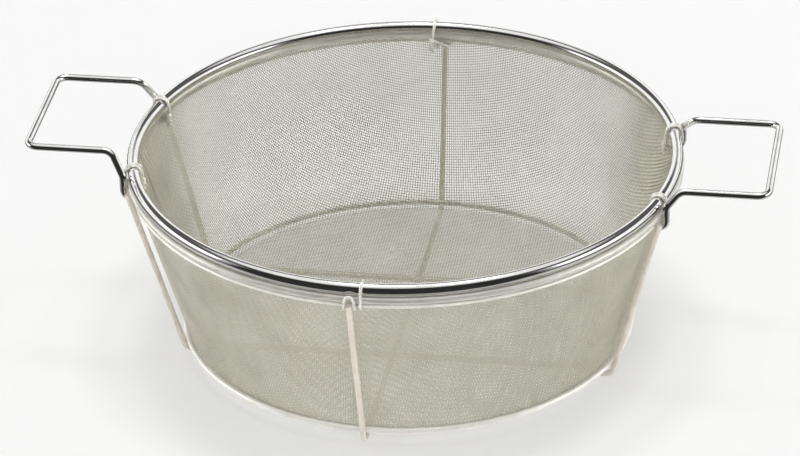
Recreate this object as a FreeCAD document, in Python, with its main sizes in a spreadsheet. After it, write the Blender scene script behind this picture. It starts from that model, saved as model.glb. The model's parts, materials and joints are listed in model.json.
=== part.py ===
"""Two-handled wire-mesh strainer basket, as a parametric FreeCAD document.

Frame: millimetres, +Z up, the origin on the surface the basket stands on, under the middle of the rim.
+X runs along the handle axis, towards the right handle, and -Y is the front.

The driving dimensions are cells of the sheet "Sizes". Rings and the mesh are Part primitives bound to those
cells. Every bent wire is a Part::Sweep of a circle along a spine of straight runs and tangent arcs.
"""

import FreeCAD, Part
import math
import os

DRIVING = [
    # (alias, value, what it is)
    ("rim_radius", 146.75, "rim ring, centreline radius"),
    ("rim_wire", 3.25, "rim ring, wire radius"),
    ("rim_top", 112.0, "top of the rim ring above the ground"),
    ("hem_radius", 148.5, "hem and under-rim wire, centreline radius"),
    ("hem_drop", 5.45, "hem below the rim ring, centre to centre"),
    ("hem_wire", 1.2, "hem core wire, wire radius"),
    ("hem_roll", 1.7, "mesh rolled round the core wire, outer radius"),
    ("hem_binding", 2.1, "sheet binding clamped round the roll, outer radius"),
    ("under_drop", 9.15, "under-rim wire below the rim ring, centre to centre"),
    ("under_wire", 0.95, "under-rim wire, wire radius"),
    ("base_radius", 122.6, "base ring, centreline radius"),
    ("base_wire", 1.6, "base ring, wire radius"),
    ("rib_wire", 1.6, "rib wires, wire radius"),
    ("mesh_thickness", 0.5, "woven mesh, knuckle to knuckle"),
    ("play", 0.05, "clearance between pieces that touch"),
    ("front_rib_angle", -92.4, "azimuth of the front rib"),
    ("back_rib_angle", 90.0, "azimuth of the back rib"),
    ("side_rib_angle", 19.3, "azimuth of a side rib from the handle axis"),
    ("foot_bend", 4.5, "bend radius of a foot, on the centreline"),
    ("foot_run", 8.0, "length of the foot that lies on the ground"),
    ("foot_rise", 9.0, "length over which a cross wire rises from its foot"),
    ("rib_top_gap", 1.4, "rib end above the under-rim wire's centre"),
    ("handle_wire", 2.0, "handles, wire radius"),
    ("handle_reach", 199.3, "crossbar centreline from the middle"),
    ("handle_half", 40.0, "half the distance between a handle's arms"),
    ("handle_corner", 6.0, "bend radius at a handle's outer corners"),
    ("handle_knee", 153.0, "where an arm bends down to the rim"),
    ("handle_knee_bend", 7.0, "bend radius of that knee"),
    ("left_rise", 12.7, "left handle above the rim ring's centre"),
    ("right_rise", 7.2, "right handle above the rim ring's centre"),
    ("hook_angle", 17.2, "azimuth of a hook from the handle axis"),
    ("hook_radius", 152.8, "hook's upright, from the middle"),
    ("hook_drop", 12.2, "hook's lower run below the rim ring's centre"),
    ("hook_bend", 4.0, "bend radius of the hook"),
    ("hook_tip", 144.5, "end of the hook inside the mesh, from the middle"),
    ("tie_wire", 0.8, "tie wires, wire radius"),
    ("tie_angle", 16.0, "azimuth of a corner tie from the handle axis"),
    ("tie_gap", 0.3, "clearance of a tie from the rings it goes round"),
    ("tie_bend", 3.2, "bend radius of a tie over the rim ring"),
    ("tie_spread", 2.6, "how far a tie's tails stand to either side of it"),
    ("tie_offset", 2.0, "azimuth from the front and back ribs to the ties beside them"),
    ("long_tail", 8.5, "end of a tie's first tail, below the rim ring's centre"),
    ("short_tail", 4.6, "end of a tie's last tail, below the rim ring's centre"),
]

DERIVED = [
    # (alias, formula, what it is)
    ("rim_z", "=rim_top - rim_wire", "rim ring, centre height"),
    ("hem_z", "=rim_z - hem_drop", "hem, centre height"),
    ("under_z", "=rim_z - under_drop", "under-rim wire, centre height"),
    ("cross_z", "=3 * rib_wire + play", "cross wires, centre height where they pass over the first wire"),
    ("floor_z", "=4 * rib_wire + 2 * play", "underside of the mesh floor, on the cross wires"),
    ("base_z", "=floor_z + base_wire", "base ring, centre height"),
    ("wall_top", "=hem_z - (hem_wire + hem_roll) / 2", "top of the wall's cone, inside the roll"),
    ("wall_base_out", "=base_radius - base_wire - 2 * play", "wall's outer radius at the base ring"),
    ("wall_rim_out", "=hem_radius - under_wire - 2 * play", "wall's outer radius at the under-rim wire"),
    ("wall_slope", "=(wall_rim_out - wall_base_out) / (under_z - base_z)", "wall's radius per height"),
    ("level_share", "=sqrt(1 + wall_slope ^ 2)", "level distance per distance square to the wall"),
    ("wall_skin", "=mesh_thickness * level_share", "mesh thickness, measured level"),
    ("wall_foot_out", "=wall_base_out - wall_slope * (base_z - floor_z)", "wall's outer radius at its foot"),
    ("wall_head_out", "=wall_base_out + wall_slope * (wall_top - base_z)", "wall's outer radius at its top"),
    ("rib_base", "=base_radius + (base_wire + rib_wire + play) * level_share", "rib radius at the base ring"),
    ("rib_rim", "=hem_radius + (under_wire + rib_wire + play) * level_share", "rib radius at the thin wire"),
    ("rib_slope", "=(rib_rim - rib_base) / (under_z - base_z)", "rib's radius per height"),
]


def add_sheet(doc):
    """Driving dimensions as plain numbers, and the sizes that follow from them as formulas."""
    sheet = doc.addObject("Spreadsheet::Sheet", "Sizes")
    for row, (alias, value, meaning) in enumerate(DRIVING + DERIVED, start=1):
        sheet.set(f"A{row}", meaning)
        sheet.set(f"B{row}", str(value))
        sheet.setAlias(f"B{row}", alias)
    doc.recompute()
    return sheet


def bind(thing, **formulas):
    """Binds properties to formulas of the sheet. A dot in a property's name is given as two underscores."""
    for name, formula in formulas.items():
        thing.setExpression(name.replace("__", "."), formula)
    return thing


def from_sheet(*names):
    return [f"Sizes.{name}" for name in names]


def add_ring(doc, label, radius, wire, height):
    """A round wire bent into a level ring."""
    ring = doc.addObject("Part::Torus", label)
    radius, wire, height = from_sheet(radius, wire, height)
    return bind(ring, Radius1=radius, Radius2=wire, Placement__Base__z=height)


def add_cone(doc, label, low_radius, high_radius, height, base):
    cone = doc.addObject("Part::Cone", label)
    return bind(cone, Radius1=low_radius, Radius2=high_radius, Height=height, Placement__Base__z=base)


def add_boolean(doc, kind, label, base, tool):
    made = doc.addObject(kind, label)
    made.Base = base
    made.Tool = tool
    return made


def add_mesh_basket(doc):
    """The woven mesh, pressed in one piece: a flat floor and a tapered wall, with the upper edge rolled
    round the hem core wire."""
    outer = add_cone(
        doc,
        "mesh_outer",
        "Sizes.wall_foot_out",
        "Sizes.wall_head_out",
        "Sizes.wall_top - Sizes.floor_z",
        "Sizes.floor_z",
    )
    inner = add_cone(
        doc,
        "mesh_inner",
        "Sizes.wall_foot_out - Sizes.wall_skin + Sizes.wall_slope * Sizes.mesh_thickness",
        "Sizes.wall_head_out - Sizes.wall_skin",
        "Sizes.wall_top - Sizes.floor_z - Sizes.mesh_thickness",
        "Sizes.floor_z + Sizes.mesh_thickness",
    )
    pan = add_boolean(doc, "Part::Cut", "mesh_pan", outer, inner)
    skin = add_ring(doc, "roll_skin", "hem_radius", "hem_roll", "hem_z")
    hollow = add_ring(doc, "roll_hollow", "hem_radius", "hem_wire", "hem_z")
    bind(hollow, Radius2="Sizes.hem_wire + Sizes.play")
    roll = add_boolean(doc, "Part::Cut", "mesh_roll", skin, hollow)
    return add_boolean(doc, "Part::Fuse", "mesh_basket", pan, roll)


def add_hem_binding(doc):
    """A strip of sheet rolled round the hem, with a slot below that the mesh leaves through."""
    skin = add_ring(doc, "binding_skin", "hem_radius", "hem_binding", "hem_z")
    hollow = add_ring(doc, "binding_hollow", "hem_radius", "hem_roll", "hem_z")
    bind(hollow, Radius2="Sizes.hem_roll + Sizes.play")
    tube = add_boolean(doc, "Part::Cut", "binding_tube", skin, hollow)
    tall = "Sizes.wall_top - Sizes.under_z"
    outer = add_cone(
        doc,
        "slot_outer",
        "Sizes.wall_rim_out + Sizes.play",
        "Sizes.wall_head_out + Sizes.play",
        tall,
        "Sizes.under_z",
    )
    inner = add_cone(
        doc,
        "slot_inner",
        "Sizes.wall_rim_out - Sizes.wall_skin - Sizes.play",
        "Sizes.wall_head_out - Sizes.wall_skin - Sizes.play",
        tall,
        "Sizes.under_z",
    )
    slot = add_boolean(doc, "Part::Cut", "binding_slot", outer, inner)
    return add_boolean(doc, "Part::Cut", "hem_binding", tube, slot)


def rounded_wire(points, bends):
    """Straight runs between points, joined at each inner point by a tangent arc of its given radius."""
    edges = []
    start = points[0]
    for before, corner, after, bend in zip(points, points[1:], points[2:], bends):
        back = (before - corner).normalize()
        ahead = (after - corner).normalize()
        half = back.getAngle(ahead) / 2
        first = corner + back * (bend / math.tan(half))
        last = corner + ahead * (bend / math.tan(half))
        middle_way = (back + ahead).normalize()
        middle = corner + middle_way * (bend / math.sin(half) - bend)
        edges.append(Part.LineSegment(start, first).toShape())
        edges.append(Part.Arc(first, middle, last).toShape())
        start = last
    edges.append(Part.LineSegment(start, points[-1]).toShape())
    return Part.Wire(edges)


def add_bent_wire(doc, label, points, bends, wire):
    """A round wire swept along a rounded path. Its thickness is bound to the sheet's cell of that name."""
    path = rounded_wire(points, bends)
    spine = doc.addObject("Part::Feature", label + "_path")
    spine.Shape = path
    circle = doc.addObject("Part::Circle", label + "_section")
    facing = FreeCAD.Rotation(FreeCAD.Vector(0, 0, 1), points[1] - points[0])
    circle.Placement = FreeCAD.Placement(points[0], facing)
    bind(circle, Radius=f"Sizes.{wire}")
    sweep = doc.addObject("Part::Sweep", label)
    sweep.Sections = [circle]
    sweep.Spine = (spine, [f"Edge{n}" for n in range(1, len(path.Edges) + 1)])
    sweep.Solid = True
    sweep.Frenet = False
    return sweep


def polar(radius, azimuth, height):
    """A point from its distance to the middle, its azimuth in degrees from +X, and its height."""
    turn = math.radians(azimuth)
    return FreeCAD.Vector(radius * math.cos(turn), radius * math.sin(turn), height)


def add_rib_wire(doc, sheet, label, first_angle, second_angle, middle_z):
    """One wire that comes down outside the wall, runs under the floor and goes up the other side.

    Its two lower bends are feet. A wire whose middle runs higher than its feet rises behind each of them.
    """
    top_z = sheet.under_z + sheet.rib_top_gap
    foot_z = sheet.rib_wire
    sides = []
    for azimuth in (first_angle, second_angle):
        top = polar(sheet.rib_base + sheet.rib_slope * (top_z - sheet.base_z), azimuth, top_z)
        foot = polar(sheet.rib_base + sheet.rib_slope * (foot_z - sheet.base_z), azimuth, foot_z)
        sides.append([top, foot])
    inward = (sides[1][1] - sides[0][1]).normalize()
    bends = [sheet.foot_bend]
    if middle_z > foot_z:
        for side, way in zip(sides, (inward, inward * -1)):
            heel = side[1] + way * sheet.foot_run
            arch = side[1] + way * (sheet.foot_run + sheet.foot_rise)
            arch.z = middle_z
            side += [heel, arch]
        bends += [2 * sheet.foot_bend] * 2
    return add_bent_wire(doc, label, sides[0] + sides[1][::-1], bends + bends[::-1], "rib_wire")


def add_handle(doc, sheet, label, side, rise):
    """A wire loop that stands out level from the rim. Each end hooks down round the rim's wires and in
    under them, and its tip comes through the mesh. side is 1 on the right and -1 on the left."""
    arm_z = sheet.rim_z + rise
    under = sheet.rim_z - sheet.hook_drop
    half = []
    for way in (-1, 1):
        azimuth = way * sheet.hook_angle
        half.append(
            [
                polar(sheet.hook_tip, azimuth, under),
                polar(sheet.hook_radius, azimuth, under),
                polar(sheet.hook_radius, azimuth, sheet.rim_z),
                FreeCAD.Vector(sheet.handle_knee, way * sheet.handle_half, arm_z),
                FreeCAD.Vector(sheet.handle_reach, way * sheet.handle_half, arm_z),
            ]
        )
    points = half[0] + half[1][::-1]
    points = [FreeCAD.Vector(side * p.x, side * p.y, p.z) for p in points]
    bends = [sheet.hook_bend, sheet.hook_bend, sheet.handle_knee_bend, sheet.handle_corner]
    return add_bent_wire(doc, label, points, bends + bends[::-1], "handle_wire")


def add_tie(doc, sheet, label, azimuth, lean):
    """A short soft wire bent over the rim ring and closed under the under-rim wire, both tails inside.

    lean is 1 or -1: the way round the rim in which the loop leans from its first tail to its last.
    """
    reach = sheet.tie_wire + sheet.tie_gap
    inside = sheet.rim_radius - sheet.rim_wire - reach
    outside = sheet.hem_radius + sheet.hem_binding + reach
    above = sheet.rim_z + sheet.rim_wire + reach
    below = sheet.under_z - sheet.under_wire - reach
    spread = sheet.tie_spread
    route = [
        # (distance from the middle, height, offset along the rim)
        (inside, sheet.rim_z - sheet.long_tail, -spread),
        (inside, above, -spread / 3),
        (outside, above, spread / 5),
        (outside, below, spread / 3),
        (inside, below, spread / 2),
        (inside, sheet.rim_z - sheet.short_tail, spread),
    ]
    along = polar(1, azimuth + 90, 0) * lean
    points = [polar(radius, azimuth, height) + along * offset for radius, height, offset in route]
    bends = [sheet.tie_bend, sheet.tie_bend, 2 * sheet.tie_wire, 2 * sheet.tie_wire]
    return add_bent_wire(doc, label, points, bends, "tie_wire")


def build(doc):
    """Makes every sub-part and returns them. Each one's Label is the name of its file."""
    sheet = add_sheet(doc)
    made = [
        add_ring(doc, "rim_ring", "rim_radius", "rim_wire", "rim_z"),
        add_ring(doc, "hem_core_wire", "hem_radius", "hem_wire", "hem_z"),
        add_hem_binding(doc),
        add_ring(doc, "under_rim_wire", "hem_radius", "under_wire", "under_z"),
        add_mesh_basket(doc),
        add_ring(doc, "base_ring", "base_radius", "base_wire", "base_z"),
    ]
    side = sheet.side_rib_angle
    ribs = [
        ("front_back_rib_wire", sheet.front_rib_angle, sheet.back_rib_angle, sheet.rib_wire),
        ("front_cross_rib_wire", side - 180, -side, sheet.cross_z),
        ("back_cross_rib_wire", 180 - side, side, sheet.cross_z),
    ]
    made += [add_rib_wire(doc, sheet, *rib) for rib in ribs]
    made += [
        add_handle(doc, sheet, "left_handle", -1, sheet.left_rise),
        add_handle(doc, sheet, "right_handle", 1, sheet.right_rise),
    ]
    corner = sheet.tie_angle
    ties = [
        ("front_tie", sheet.front_rib_angle + sheet.tie_offset, 1),
        ("back_tie", sheet.back_rib_angle + sheet.tie_offset, 1),
        ("left_front_tie", corner - 180, -1),
        ("left_back_tie", 180 - corner, 1),
        ("right_front_tie", -corner, 1),
        ("right_back_tie", corner, -1),
    ]
    made += [add_tie(doc, sheet, *tie) for tie in ties]
    doc.recompute()
    return made


def check(doc, made):
    """Stops on any object that failed to build, or a sub-part that isn't one valid solid."""
    for thing in doc.Objects:
        if {"Invalid", "Error"} & set(thing.State):
            raise SystemExit(f"{thing.Label} failed: {thing.State}")
    for thing in made:
        shape = thing.Shape
        if shape.isNull() or not shape.isValid() or len(shape.Solids) != 1 or shape.Volume <= 0:
            raise SystemExit(f"{thing.Label} isn't one valid solid")


def main():
    doc = FreeCAD.newDocument("strainer_basket")
    made = build(doc)
    check(doc, made)
    os.makedirs("parts", exist_ok=True)
    for thing in made:
        thing.Shape.exportStep(f"parts/{thing.Label}.step")
        print(f"{thing.Label}: {thing.Shape.Volume:.0f} mm3")


main()
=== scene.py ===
"""Looks of the two-handled strainer basket: its woven wires, ties, steels, light and camera.

Metres, in the CAD's frame: +Z up, +X along the handle axis towards the right handle, -Y the front.
"""

import json
import math

import bpy
import numpy as np
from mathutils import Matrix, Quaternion, Vector


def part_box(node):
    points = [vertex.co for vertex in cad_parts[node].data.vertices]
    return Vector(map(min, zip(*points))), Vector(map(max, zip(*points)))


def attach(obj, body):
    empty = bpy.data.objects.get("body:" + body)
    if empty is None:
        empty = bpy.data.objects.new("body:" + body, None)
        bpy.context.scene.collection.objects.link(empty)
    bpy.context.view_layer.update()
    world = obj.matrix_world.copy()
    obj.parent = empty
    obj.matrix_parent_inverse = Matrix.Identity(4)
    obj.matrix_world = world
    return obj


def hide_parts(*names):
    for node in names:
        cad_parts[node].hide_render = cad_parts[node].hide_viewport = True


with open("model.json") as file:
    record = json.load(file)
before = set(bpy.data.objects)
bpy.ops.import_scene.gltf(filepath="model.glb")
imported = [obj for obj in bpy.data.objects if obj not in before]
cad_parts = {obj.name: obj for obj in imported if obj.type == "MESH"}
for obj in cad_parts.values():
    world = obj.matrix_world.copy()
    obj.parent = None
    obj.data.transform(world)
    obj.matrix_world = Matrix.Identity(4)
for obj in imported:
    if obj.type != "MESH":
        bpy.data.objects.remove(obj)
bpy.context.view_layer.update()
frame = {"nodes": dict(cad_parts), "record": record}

MM = 0.001

# The cloth: plain weave, 17 wires to the inch, laid square to the handles.
PITCH = 25.4 / 17 * MM
CLOTH_WIRE = 0.5 * MM
CLOTH_SIDES = 4
FLOOR_CORNER = 4 * MM

# The ties: soft wire wound round the rim and twisted shut. The arch is the loop over a rib's end.
TIE_WIRE = 0.8 * MM
TIE_REACH = 0.9 * MM
TAIL_STEPS = 12
TAIL_TURNS = 1.5
TAIL_DROP = 13 * MM
TAIL_LENGTH = 8 * MM
ARCH_FOOT = 3.2 * MM
ARCH_HALF = 2.6 * MM

# The camera, in metres and degrees.
CAMERA_TARGET = Vector((-0.00365, -0.00061, 0.06125))
CAMERA_DISTANCE = 2.5
CAMERA_ELEVATION = math.radians(29.77)
CAMERA_HEADING = math.radians(9.45)
CAMERA_ROLL = math.radians(-1.42)
CAMERA_LENS = 206.5
CAMERA_FAR = 20

# What shiny surfaces mirror, as (elevation in degrees, brightness): a dark room in front, where the camera
# stands, a pale backdrop behind, and a bright ceiling over both.
FRONT_BANDS = [(-80, 0.5), (-66, 0.03), (44, 0.03), (62, 0.85), (80, 0.85)]
BACK_BANDS = [(-32, 0.6), (-26, 0.12), (-12, 0.12), (-6, 1.1), (26, 1.1), (30, 0.1), (47, 0.1), (55, 0.95)]
# How matt surfaces are lit from all round, in the same terms: much more from the horizon than from above.
FILL_BANDS = [(0, 9.0), (7, 8.0), (13, 0.7), (60, 0.35)]
# The dark room holds for directions with a Y below the first value, and the backdrop above the second.
FRONT_REACH = (-0.5, -0.25)
STUDIO_BACKDROP = 1.0

# The floor, which glows a little so that shadows on it stay faint.
FLOOR_TONE = 0.75
FLOOR_GLOW = 0.3
FLOOR_RADIUS = 6.0
FLOOR_GRAIN = 20
FLOOR_ROUGHNESS = (0.85, 0.95)
FLOOR_SPECULAR = 0.1
FLOOR_SIDES = 128

# The lamps, in metres, watts and degrees: size is (width, height) and azimuth is from +X.
LAMP_AZIMUTHS = {"back_left_lamp": 125, "back_right_lamp": 28}
LAMP_ELEVATION = 79
LAMP_DISTANCE = 2.2
LAMP_SIZE = (0.4, 0.4)
LAMP_POWER = 7
SOFTBOX_AZIMUTHS = {"left_softbox": 186, "right_softbox": -6}
SOFTBOX_ELEVATION = 16
SOFTBOX_DISTANCE = 2.4
SOFTBOX_SIZE = (1.4, 0.5)
SOFTBOX_POWER = 4


def polar(radius, azimuth, height):
    """A point from its distance to the middle, its azimuth in degrees from +X, and its height."""
    turn = math.radians(azimuth)
    return Vector((radius * math.cos(turn), radius * math.sin(turn), height))


def ring(node):
    """(centreline radius, wire radius, centre height) of a level CAD ring, from its box."""
    low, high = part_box(node)
    wire = (high.z - low.z) / 2
    return high.x - wire, wire, (high.z + low.z) / 2


# ---------------------------------------------------------------- materials


class Nodes:
    """A short way to add and link shader nodes."""

    def __init__(self, tree):
        self.tree = tree

    def add(self, kind, **values):
        """Adds a node. A value whose name is an input's sets that input, and any other sets a property."""
        node = self.tree.nodes.new(kind)
        for name, value in values.items():
            socket = name.replace("_", " ")
            if socket in node.inputs:
                node.inputs[socket].default_value = value
            else:
                setattr(node, name, value)
        return node

    def link(self, output, target):
        self.tree.links.new(output, target)


def new_material(name):
    material = bpy.data.materials.new(name)
    material.use_nodes = True
    return material, Nodes(material.node_tree), material.node_tree.nodes["Principled BSDF"]


# Where nearly all values of a noise texture lie, and how many finer layers it has.
NOISE_SPAN = (0.3, 0.7)
NOISE_DETAIL = 3.0
GRAIN_STRENGTH = 0.35


def noise_between(nodes, coordinates, scale, low, high):
    """A number that drifts between low and high over the surface."""
    noise = nodes.add("ShaderNodeTexNoise", Scale=scale, Detail=NOISE_DETAIL)
    spread = nodes.add("ShaderNodeMapRange")
    spread.inputs["From Min"].default_value = NOISE_SPAN[0]
    spread.inputs["From Max"].default_value = NOISE_SPAN[1]
    spread.inputs["To Min"].default_value = low
    spread.inputs["To Max"].default_value = high
    nodes.link(coordinates, noise.inputs["Vector"])
    nodes.link(noise.outputs["Fac"], spread.inputs["Value"])
    return spread.outputs["Result"]


def mix_colours(nodes, first, second, share):
    """first where share is 0 and second where it is 1. Each is a colour output, a colour or a grey level."""
    mix = nodes.add("ShaderNodeMix", data_type="RGBA")
    sockets = [socket for socket in mix.inputs if socket.type == "RGBA"]
    for socket, value in zip(sockets, (first, second)):
        if isinstance(value, bpy.types.NodeSocket):
            nodes.link(value, socket)
        elif isinstance(value, tuple):
            socket.default_value = (*value, 1)
        else:
            socket.default_value = (value, value, value, 1)
    nodes.link(share, mix.inputs["Factor"])
    return [socket for socket in mix.outputs if socket.type == "RGBA"][0]


def steel(name, dull, bright, roughness, patch, grain, depth, metallic):
    """Bare steel, as STEELS describes it: two tones in patches, roughened and dented by fine grain."""
    material, nodes, surface = new_material(name)
    surface.inputs["Metallic"].default_value = metallic
    place = nodes.add("ShaderNodeTexCoord").outputs["Object"]
    tone = mix_colours(nodes, dull, bright, noise_between(nodes, place, patch, 0, 1))
    nodes.link(tone, surface.inputs["Base Color"])
    nodes.link(noise_between(nodes, place, grain, *roughness), surface.inputs["Roughness"])
    bump = nodes.add("ShaderNodeBump", Strength=GRAIN_STRENGTH, Distance=depth)
    nodes.link(noise_between(nodes, place, grain, 0, 1), bump.inputs["Height"])
    nodes.link(bump.outputs["Normal"], surface.inputs["Normal"])
    return material


# slot: dull tone, bright tone, roughness, tone patches and grain per metre, grain depth, metallic
STEELS = {
    "polished_ring": ((0.78, 0.77, 0.75), (0.86, 0.86, 0.85), (0.05, 0.12), 60, 900, 0.006 * MM, 1.0),
    "rolled_strip": ((0.80, 0.78, 0.70), (0.92, 0.90, 0.84), (0.38, 0.50), 90, 1400, 0.03 * MM, 0.75),
    "bright_wire": ((0.86, 0.84, 0.77), (0.95, 0.93, 0.88), (0.28, 0.40), 120, 1500, 0.02 * MM, 0.5),
    "rib_wire": ((0.66, 0.60, 0.52), (0.76, 0.71, 0.63), (0.34, 0.46), 140, 1600, 0.03 * MM, 0.4),
    "handle_wire": ((0.76, 0.75, 0.73), (0.88, 0.88, 0.87), (0.06, 0.14), 80, 1100, 0.006 * MM, 1.0),
    "woven_mesh": ((0.60, 0.58, 0.48), (0.71, 0.69, 0.59), (0.26, 0.38), 45, 2400, 0.01 * MM, 0.5),
    "tie_wire": ((0.76, 0.74, 0.67), (0.92, 0.90, 0.85), (0.24, 0.36), 200, 2200, 0.03 * MM, 0.5),
}


def finish_cad_nodes(steels):
    """Gives each CAD node the steel of its slot."""
    slots = {part["node"]: part["material_slot"] for part in frame["record"]["subparts"]}
    for name, node in frame["nodes"].items():
        node.data.materials.clear()
        node.data.materials.append(steels[slots[name]])


# ---------------------------------------------------------------- woven cloth


class Profile:
    """The cloth's middle surface, cut through the middle of the basket: floor, rounded corner, wall."""

    def __init__(self):
        base_radius, base_wire, base_height = ring("base_ring")
        thin_radius, thin_wire, thin_height = ring("under_rim_wire")
        hem_height = ring("hem_binding")[2]
        self.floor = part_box("mesh_basket")[0].z + CLOTH_WIRE
        rise = thin_height - base_height
        lean = (thin_radius - thin_wire - base_radius + base_wire) / rise
        level_share = math.hypot(1, lean)
        foot = base_radius - base_wire - CLOTH_WIRE * level_share
        edge = foot - lean * (base_height - self.floor)
        self.tilt = math.atan2(1, lean)
        self.corner_start = edge - FLOOR_CORNER * math.tan(self.tilt / 2)
        self.corner_end = self.corner_start + FLOOR_CORNER * self.tilt
        corner_height = self.floor + FLOOR_CORNER * (1 - math.cos(self.tilt))
        self.end = self.corner_end + (hem_height - corner_height) / math.sin(self.tilt)

    def at(self, run):
        """(radius, height, tilt) at a distance along the cloth from its middle."""
        tilt = np.clip((run - self.corner_start) / FLOOR_CORNER, 0, self.tilt)
        wall = np.maximum(run - self.corner_end, 0)
        radius = np.minimum(run, self.corner_start) + FLOOR_CORNER * np.sin(tilt)
        height = self.floor + FLOOR_CORNER * (1 - np.cos(tilt))
        return radius + wall * math.cos(self.tilt), height + wall * math.sin(self.tilt), tilt


def drape(profile, across, along, lift):
    """Points of the flat cloth laid on the basket, lifted off its middle surface, with their normals."""
    run = np.hypot(across, along)
    azimuth = np.arctan2(across, along)
    radius, height, tilt = profile.at(run)
    out = np.stack([np.cos(azimuth), np.sin(azimuth), np.zeros_like(azimuth)], axis=1)
    up = np.array([0, 0, 1.0])
    normal = up * np.cos(tilt)[:, None] - out * np.sin(tilt)[:, None]
    return out * radius[:, None] + up * height[:, None] + normal * lift[:, None], normal


def tube(points, normals, radius, sides):
    """Vertices and faces of a closed tube along points, one ring of vertices at each of them."""
    ahead = np.gradient(points, axis=0)
    ahead /= np.linalg.norm(ahead, axis=1)[:, None]
    sideways = np.cross(ahead, normals)
    sideways /= np.linalg.norm(sideways, axis=1)[:, None]
    upward = np.cross(sideways, ahead)
    turns = np.arange(sides) * 2 * math.pi / sides
    up_share = np.cos(turns)[None, :, None]
    side_share = np.sin(turns)[None, :, None]
    spokes = up_share * upward[:, None] + side_share * sideways[:, None]
    vertices = (points[:, None] + radius * spokes).reshape(-1, 3)
    here = np.arange(len(points) - 1)[:, None] * sides + np.arange(sides)
    right = np.arange(len(points) - 1)[:, None] * sides + (np.arange(sides) + 1) % sides
    walls = np.stack([here, right, right + sides, here + sides], axis=2).reshape(-1, 4)
    start = list(range(sides))[::-1]
    end = [len(vertices) - sides + n for n in range(sides)]
    return vertices, walls.tolist() + [start, end]


def mesh_object(name, tubes, material):
    """One smooth mesh object of many tubes."""
    vertices = []
    faces = []
    count = 0
    for points, quads in tubes:
        vertices.append(points)
        faces += [[corner + count for corner in quad] for quad in quads]
        count += len(points)
    mesh = bpy.data.meshes.new(name)
    mesh.from_pydata(np.concatenate(vertices).tolist(), [], faces)
    mesh.polygons.foreach_set("use_smooth", [True] * len(mesh.polygons))
    mesh.materials.append(material)
    mesh.update()
    made = bpy.data.objects.new(name, mesh)
    bpy.context.scene.collection.objects.link(made)
    return made


def weave(profile, family, wanted):
    """Tubes for one family of wires, over the part of the cloth where wanted(across, along) is true.

    Family 0 runs along the cloth and 1 across it. A wire is over where the other family's is under.
    """
    count = math.ceil(profile.end / PITCH)
    places = (np.arange(-count, count) + 0.5) * PITCH
    tubes = []
    for number, offset in enumerate(places):
        lift = np.where((np.arange(len(places)) + number + family) % 2, 0.5, -0.5) * CLOTH_WIRE
        fixed = np.full_like(places, offset)
        across, along = (fixed, places) if family == 0 else (places, fixed)
        inside = wanted(across, along)
        ends = np.flatnonzero(np.diff(inside.astype(int))) + 1
        for stretch in np.split(np.arange(len(places)), ends):
            if inside[stretch[0]] and len(stretch) > 1:
                points, normals = drape(profile, across[stretch], along[stretch], lift[stretch])
                tubes.append(tube(points, normals, CLOTH_WIRE / 2, CLOTH_SIDES))
    return tubes


def make_cloth(steels):
    """The woven cloth, as two families of wires, each in a floor piece and two wall pieces."""
    profile = Profile()
    seam = profile.corner_start
    overlap = 0.5 * PITCH

    def on_floor(across, along):
        return np.hypot(across, along) <= seam + overlap

    def on_wall(across, along):
        run = np.hypot(across, along)
        return (run >= seam - overlap) & (run <= profile.end)

    def on_front(across, along):
        return on_wall(across, along) & (across <= overlap)

    def on_back(across, along):
        return on_wall(across, along) & (across >= -overlap)

    parts = {"floor": on_floor, "front_wall": on_front, "back_wall": on_back}
    for family, family_name in enumerate(("warp", "weft")):
        for place, wanted in parts.items():
            tubes = weave(profile, family, wanted)
            piece = mesh_object(f"mesh_{place}_{family_name}_wires", tubes, steels["woven_mesh"])
            dress(piece, "woven_mesh", "mesh_basket")


def dress(piece, slot, *nodes):
    """Rides a new piece on the basket and hides the CAD nodes that it stands for. Its slot is not used."""
    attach(piece, "root")
    if nodes:
        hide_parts(*nodes)


# ---------------------------------------------------------------- ties


def tie_limits():
    """How far in, out, up and down a tie's wire goes round the three rings of the rim."""
    rim_radius, rim_wire, rim_height = ring("rim_ring")
    hem_radius, hem_wire, _ = ring("hem_binding")
    thin_wire, thin_height = ring("under_rim_wire")[1:]
    inside = rim_radius - rim_wire - TIE_REACH
    outside = hem_radius + hem_wire + TIE_REACH
    above = rim_height + rim_wire + TIE_REACH
    below = thin_height - thin_wire - TIE_REACH
    return inside, outside, above, below


def rim_turn(first, last):
    """Corners of one turn of a tie round the three rings, as (offset along the rim, radius, height).

    first and last are the turn's offsets, where it goes up inside the basket and where it comes back.
    """
    inside, outside, above, below = tie_limits()
    step = (last - first) / 4
    return [
        (first, inside, above),
        (first + step, outside, above),
        (first + 2 * step, outside, below),
        (first + 3 * step, inside, below),
    ]


def twisted_tail(offset, phase):
    """One of the two strands that twist together inside the rim, from its end upwards."""
    rim_radius, rim_wire, rim_height = ring("rim_ring")
    middle = rim_radius - rim_wire - 2 * TIE_REACH
    points = []
    for step in range(TAIL_STEPS + 1):
        turn = phase + 2 * math.pi * TAIL_TURNS * step / TAIL_STEPS
        height = rim_height - TAIL_DROP + TAIL_LENGTH * step / TAIL_STEPS
        points.append((offset + TIE_WIRE * math.cos(turn), middle + TIE_WIRE * math.sin(turn), height))
    return points


def rib_arch(middle):
    """Corners of the tie's wire where it comes out beside a rib's end, arches over it and goes back in."""
    inside, outside, _, below = tie_limits()
    hem_wire, hem_height = ring("hem_binding")[1:]
    half = [
        (ARCH_FOOT, inside, below),
        (ARCH_FOOT, outside, below),
        (ARCH_HALF, outside, hem_height),
        (ARCH_HALF / 2, outside, hem_height + hem_wire + TIE_WIRE),
    ]
    first = [(middle + offset, radius, height) for offset, radius, height in half]
    second = [(middle - offset, radius, height) for offset, radius, height in half[::-1]]
    return first + second


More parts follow.
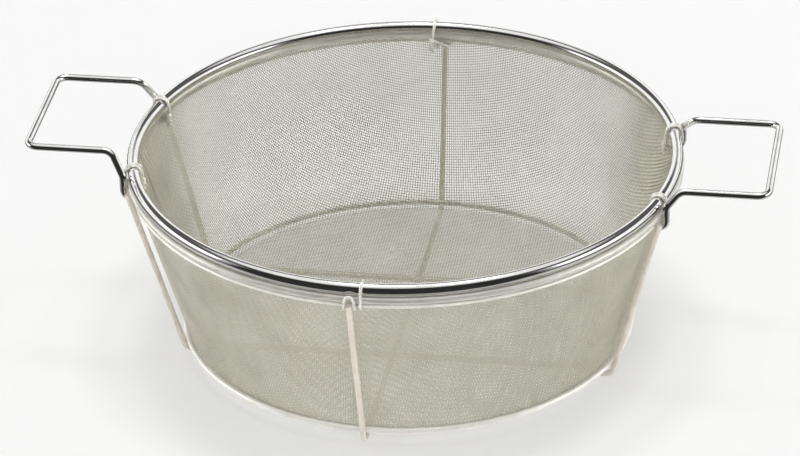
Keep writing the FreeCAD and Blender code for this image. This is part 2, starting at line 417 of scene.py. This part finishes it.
def make_tie(name, node, tail, offsets, rib, steels):
    """A soft wire wound round the rim's rings, its two ends twisted together inside.

    tail and offsets are the twist's and the turns' places along the rim. rib is a rib's, or None.
    """
    azimuth = node_azimuth(node)
    route = twisted_tail(tail, 0)
    for first, last in zip(offsets, offsets[1:]):
        route += rim_turn(first, last)
    if rib is not None:
        route += rib_arch(rib)
    route += twisted_tail(tail, math.pi)[::-1]
    along = polar(1, azimuth + 90, 0)
    points = [polar(radius, azimuth, height) + along * offset for offset, radius, height in route]
    dress(wire_object(name, points, TIE_WIRE, steels["tie_wire"]), "tie_wire", node)


def wire_object(name, points, radius, material):
    """A round wire along one smooth curve, which rounds off its corners."""
    data = bpy.data.curves.new(name, "CURVE")
    data.dimensions = "3D"
    data.bevel_depth = radius
    data.bevel_resolution = 4
    data.resolution_u = 8
    data.use_fill_caps = True
    spline = data.splines.new("NURBS")
    spline.points.add(len(points) - 1)
    for corner, point in zip(spline.points, points):
        corner.co = (*point, 1)
    spline.order_u = 3
    spline.use_endpoint_u = True
    data.materials.append(material)
    made = bpy.data.objects.new(name, data)
    bpy.context.scene.collection.objects.link(made)
    return made


def node_azimuth(node):
    """Azimuth in degrees of the middle of a CAD node's box."""
    low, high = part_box(node)
    middle = (low + high) / 2
    return math.degrees(math.atan2(middle.y, middle.x))


def make_ties(steels):
    """Six ties. The corner ones have two turns. The front and back ones have one, and arch over a rib."""
    windings = {
        # node: place of the twist, places of the turns, place of the rib, all in mm along the rim
        "front_tie": (1.0, (1.6, -0.4), -5.2),
        "back_tie": (1.8, (0.0, -1.2), -5.2),
        "left_front_tie": (-1.8, (-1.8, 0.0, 1.9), None),
        "left_back_tie": (1.8, (1.8, 0.0, -1.9), None),
        "right_front_tie": (1.8, (1.8, 0.0, -1.9), None),
        "right_back_tie": (-1.8, (-1.8, 0.0, 1.9), None),
    }
    for node, (tail, offsets, rib) in windings.items():
        turns = [offset * MM for offset in offsets]
        make_tie(node + "_wire", node, tail * MM, turns, None if rib is None else rib * MM, steels)


# ---------------------------------------------------------------- studio


def make_floor():
    """A round pale floor, which shiny surfaces don't mirror."""
    bpy.ops.mesh.primitive_circle_add(vertices=FLOOR_SIDES, radius=FLOOR_RADIUS, fill_type="NGON")
    floor = bpy.context.object
    floor.name = "studio_floor"
    material, nodes, surface = new_material("studio_floor")
    surface.inputs["Base Color"].default_value = (FLOOR_TONE, FLOOR_TONE, FLOOR_TONE, 1)
    surface.inputs["Specular IOR Level"].default_value = FLOOR_SPECULAR
    surface.inputs["Emission Color"].default_value = (1, 1, 1, 1)
    surface.inputs["Emission Strength"].default_value = FLOOR_GLOW
    place = nodes.add("ShaderNodeTexCoord").outputs["Object"]
    nodes.link(noise_between(nodes, place, FLOOR_GRAIN, *FLOOR_ROUGHNESS), surface.inputs["Roughness"])
    floor.data.materials.append(material)
    floor.visible_glossy = False


def make_world():
    """Studio surroundings, which mirrored rays, diffuse rays and the camera each see differently."""
    world = bpy.data.worlds.new("studio")
    bpy.context.scene.world = world
    world.use_nodes = True
    nodes = Nodes(world.node_tree)
    background = world.node_tree.nodes["Background"]
    place = nodes.add("ShaderNodeTexCoord").outputs["Generated"]
    split = nodes.add("ShaderNodeSeparateXYZ")
    nodes.link(place, split.inputs["Vector"])
    front = band_ramp(nodes, split.outputs["Z"], FRONT_BANDS)
    back = band_ramp(nodes, split.outputs["Z"], BACK_BANDS)
    side = nodes.add("ShaderNodeMapRange")
    side.inputs["From Min"].default_value = FRONT_REACH[0]
    side.inputs["From Max"].default_value = FRONT_REACH[1]
    nodes.link(split.outputs["Y"], side.inputs["Value"])
    mirrored = mix_colours(nodes, front, back, side.outputs["Result"])
    seen = nodes.add("ShaderNodeLightPath")
    fill = band_ramp(nodes, split.outputs["Z"], FILL_BANDS)
    filled = mix_colours(nodes, mirrored, fill, seen.outputs["Is Diffuse Ray"])
    shown = mix_colours(nodes, filled, STUDIO_BACKDROP, seen.outputs["Is Camera Ray"])
    nodes.link(shown, background.inputs["Color"])


def band_ramp(nodes, rise, bands):
    """Grey levels by elevation, from the upward part of a direction."""
    share = nodes.add("ShaderNodeMapRange")
    share.inputs["From Min"].default_value = -1.0
    ramp = nodes.add("ShaderNodeValToRGB")
    nodes.link(rise, share.inputs["Value"])
    nodes.link(share.outputs["Result"], ramp.inputs["Fac"])
    stops = ramp.color_ramp.elements
    stops.remove(stops[-1])
    for number, (elevation, level) in enumerate(bands):
        position = (1 + math.sin(math.radians(elevation))) / 2
        stop = stops.new(position) if number else stops[0]
        stop.position = position
        stop.color = (level, level, level, 1)
    return ramp.outputs["Color"]


def add_lamp(name, azimuth, elevation, distance, size, power):
    """A lamp aimed at the basket. Azimuth is in degrees from +X, and size is (width, height)."""
    lamp = bpy.data.lights.new(name, "AREA")
    lamp.shape = "RECTANGLE"
    lamp.size, lamp.size_y = size
    lamp.energy = power
    made = bpy.data.objects.new(name, lamp)
    bpy.context.scene.collection.objects.link(made)
    level = distance * math.cos(math.radians(elevation))
    made.location = polar(level, azimuth, distance * math.sin(math.radians(elevation)))
    made.rotation_euler = (-made.location).to_track_quat("-Z", "Y").to_euler()
    made.visible_camera = False
    return made


def make_lamps():
    """Two lamps nearly overhead, and two softboxes that only show as reflections in the steel."""
    for name, azimuth in LAMP_AZIMUTHS.items():
        add_lamp(name, azimuth, LAMP_ELEVATION, LAMP_DISTANCE, LAMP_SIZE, LAMP_POWER)
    for name, azimuth in SOFTBOX_AZIMUTHS.items():
        softbox = add_lamp(name, azimuth, SOFTBOX_ELEVATION, SOFTBOX_DISTANCE, SOFTBOX_SIZE, SOFTBOX_POWER)
        softbox.visible_diffuse = False


def make_camera():
    """A long lens from the front, above and a little to the right."""
    camera = bpy.data.objects.new("camera", bpy.data.cameras.new("camera"))
    bpy.context.scene.collection.objects.link(camera)
    level = math.cos(CAMERA_ELEVATION)
    ahead = Vector(
        (-level * math.sin(CAMERA_HEADING), level * math.cos(CAMERA_HEADING), -math.sin(CAMERA_ELEVATION))
    )
    camera.rotation_mode = "QUATERNION"
    camera.rotation_quaternion = ahead.to_track_quat("-Z", "Y") @ Quaternion((0, 0, 1), CAMERA_ROLL)
    camera.location = CAMERA_TARGET - ahead * CAMERA_DISTANCE
    camera.data.lens = CAMERA_LENS
    camera.data.clip_end = CAMERA_FAR
    bpy.context.scene.camera = camera


bpy.context.scene.view_settings.view_transform = "Standard"
steels = {slot: steel(slot, *look) for slot, look in STEELS.items()}
finish_cad_nodes(steels)
make_cloth(steels)
make_ties(steels)
make_floor()
make_world()
make_lamps()
make_camera()
